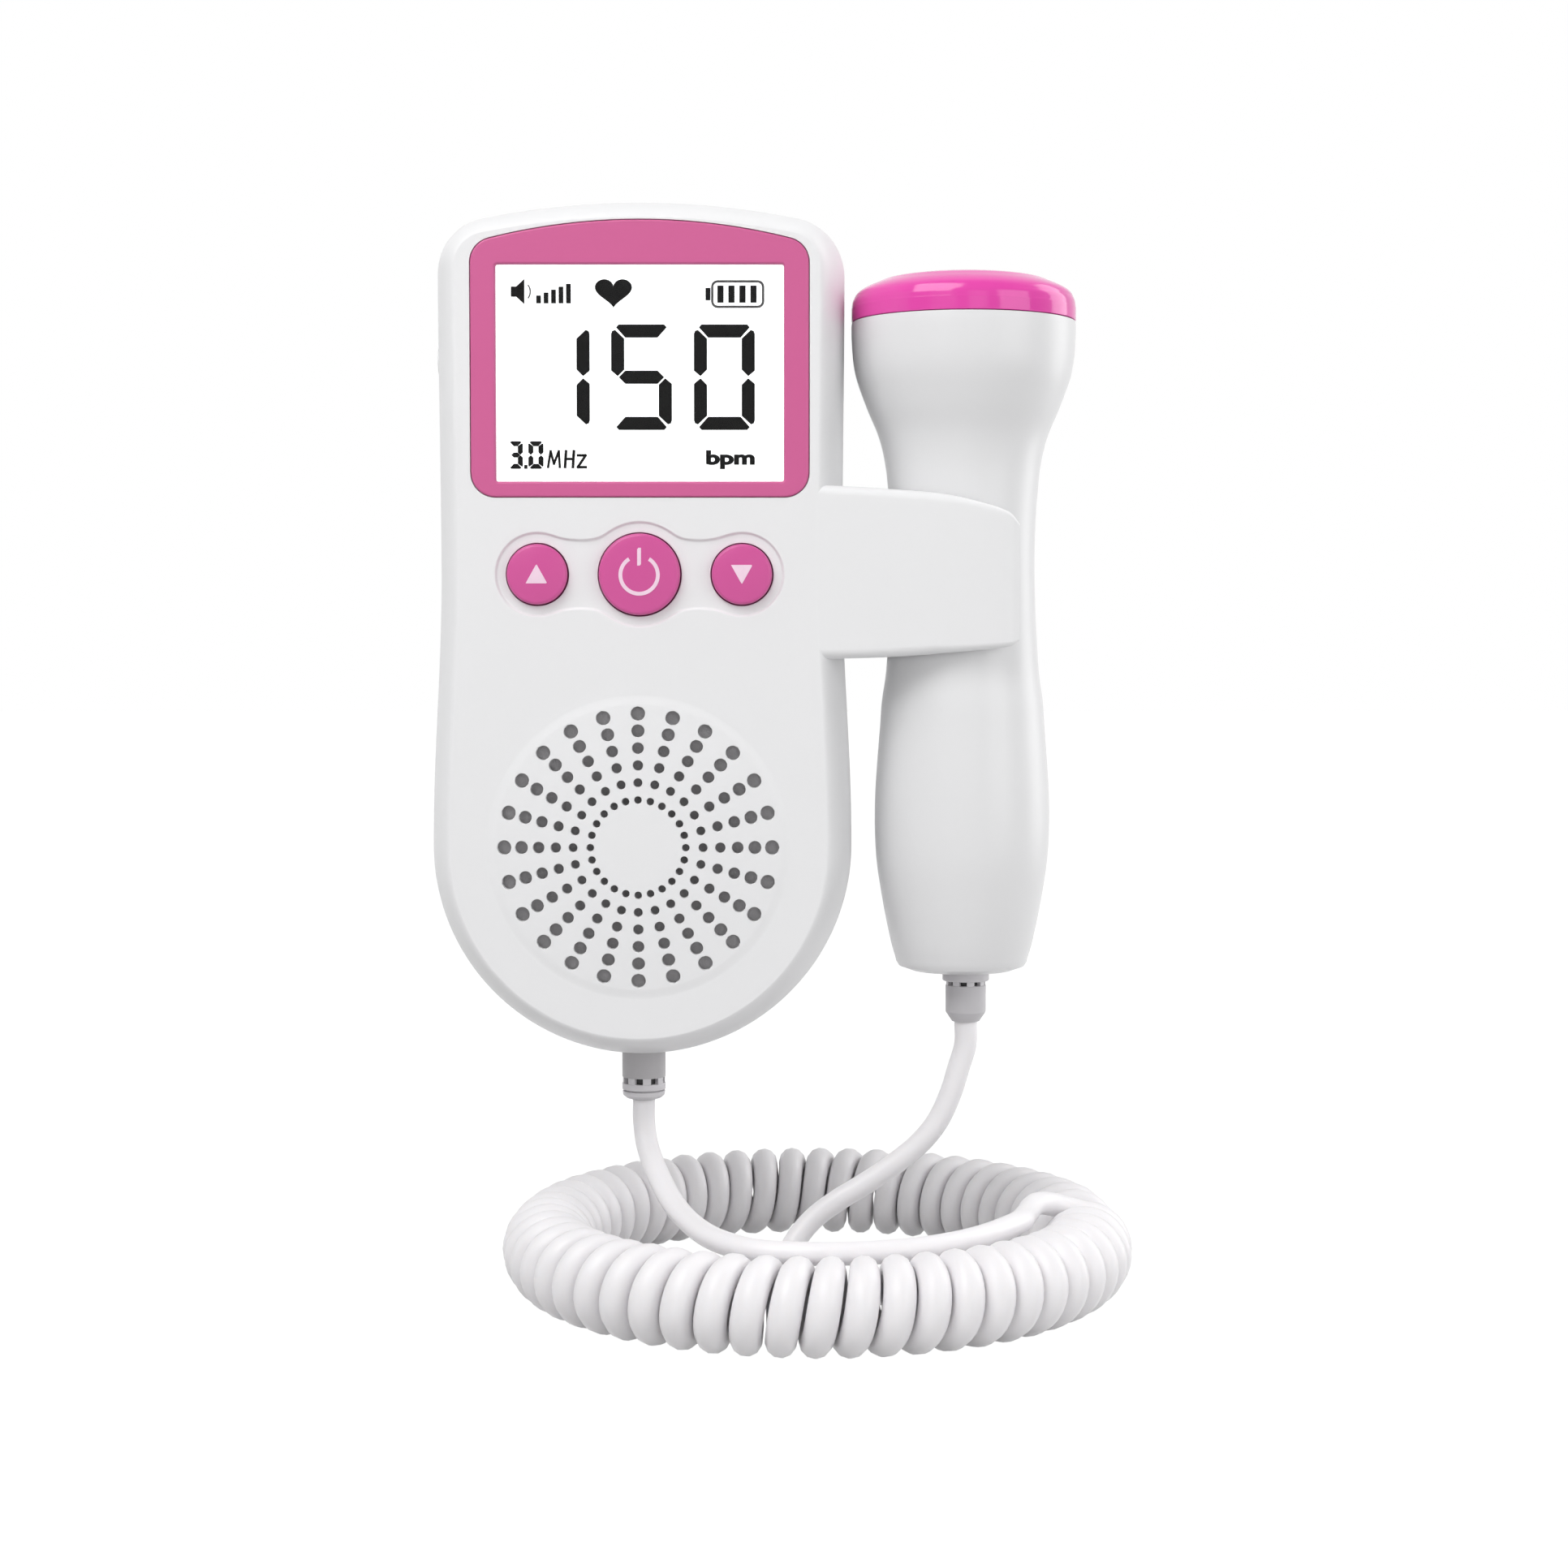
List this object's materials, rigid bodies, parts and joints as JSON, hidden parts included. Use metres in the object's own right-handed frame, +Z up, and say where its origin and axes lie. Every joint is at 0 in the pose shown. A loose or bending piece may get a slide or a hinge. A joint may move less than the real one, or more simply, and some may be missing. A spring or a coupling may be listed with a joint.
{
  "type": "fetal doppler",
  "caption": "Hand-held fetal heart monitor: white case with display, three keys and round sound-hole pattern, clip-on ultrasound probe with pink tip, and curly cord laid in a ring.",
  "frame": {"origin": "middle of the flat back of the main unit, just below the battery door", "axes": "+Z up the main unit towards its display, +X to the right towards the probe when seen from the front, +Y out of the back; the front faces -Y"},
  "size_m": [0.1102, 0.0993, 0.1723],
  "materials": {
    "white_abs": "satin moulded ABS",
    "white_abs_probe": "glossy moulded ABS",
    "pink_abs": "satin moulded ABS",
    "pink_key": "glossy keycap",
    "pink_cap": "high gloss acoustic lens",
    "clear_acrylic": "clear",
    "lcd_glass": "white display",
    "backlight_acrylic": "diffusing",
    "circuit_board": "solder mask",
    "black_plastic": "matte",
    "gasket_foam": "matte foam",
    "speaker_steel": "plated",
    "speaker_paper": "paper",
    "magnet": "ferrite",
    "cell_wrap": "wrapped cell",
    "contact_steel": "nickel plated",
    "screw_zinc": "zinc plated",
    "piezo": "ceramic",
    "backing_epoxy": "cast",
    "grey_pvc": "soft matte",
    "cord_pvc": "soft satin"
  },
  "bodies": {
    "main_unit": {"front_cover": "white_abs", "rear_cover": "white_abs", "display_bezel": "pink_abs", "display_window": "clear_acrylic", "lcd_panel": "lcd_glass", "lcd_backlight": "backlight_acrylic", "main_board": "circuit_board", "power_switch": "black_plastic", "up_switch": "black_plastic", "down_switch": "black_plastic", "speaker_grille": "white_abs", "speaker_gasket": "gasket_foam", "speaker_frame": "speaker_steel", "speaker_cone": "speaker_paper", "speaker_magnet": "magnet", "battery_1": "cell_wrap", "battery_2": "cell_wrap", "battery_contact_top": "contact_steel", "battery_contact_bottom": "contact_steel", "case_screw_1": "screw_zinc", "case_screw_2": "screw_zinc", "case_screw_3": "screw_zinc", "case_screw_4": "screw_zinc", "earphone_jack": "black_plastic", "strain_relief_main": "grey_pvc", "cord_tail_main": "cord_pvc", "cord_curls": "cord_pvc", "cord_tail_probe": "cord_pvc"},
    "power_key": {"power_button": "pink_key"},
    "up_key": {"up_button": "pink_key"},
    "down_key": {"down_button": "pink_key"},
    "battery_lid": {"battery_door": "white_abs"},
    "probe": {"probe_front_shell": "white_abs_probe", "probe_rear_shell": "white_abs_probe", "transducer_cap": "pink_cap", "crystal_transmit": "piezo", "crystal_receive": "piezo", "crystal_backing": "backing_epoxy", "probe_board": "circuit_board", "strain_relief_probe": "grey_pvc"}
  },
  "joints": [
    {"name": "power_key_press", "type": "slide", "parent": "main_unit", "child": "power_key", "axis": [0, 1, 0], "range_m": [0, 0.0008], "stiffness_N_per_m": 500, "springref_m": -0.001},
    {"name": "up_key_press", "type": "slide", "parent": "main_unit", "child": "up_key", "axis": [0, 1, 0], "range_m": [0, 0.0008], "stiffness_N_per_m": 500, "springref_m": -0.001},
    {"name": "down_key_press", "type": "slide", "parent": "main_unit", "child": "down_key", "axis": [0, 1, 0], "range_m": [0, 0.0008], "stiffness_N_per_m": 500, "springref_m": -0.001},
    {"name": "battery_lid_hinge", "type": "hinge", "parent": "main_unit", "child": "battery_lid", "pos_m": [0, -0.0007, 0.0597], "axis": [1, 0, 0], "range_deg": [0, 90]},
    {"name": "probe_slide", "type": "slide", "parent": "main_unit", "child": "probe", "axis": [1, 0, 0], "range_m": [0, 0.03]}
  ]
}
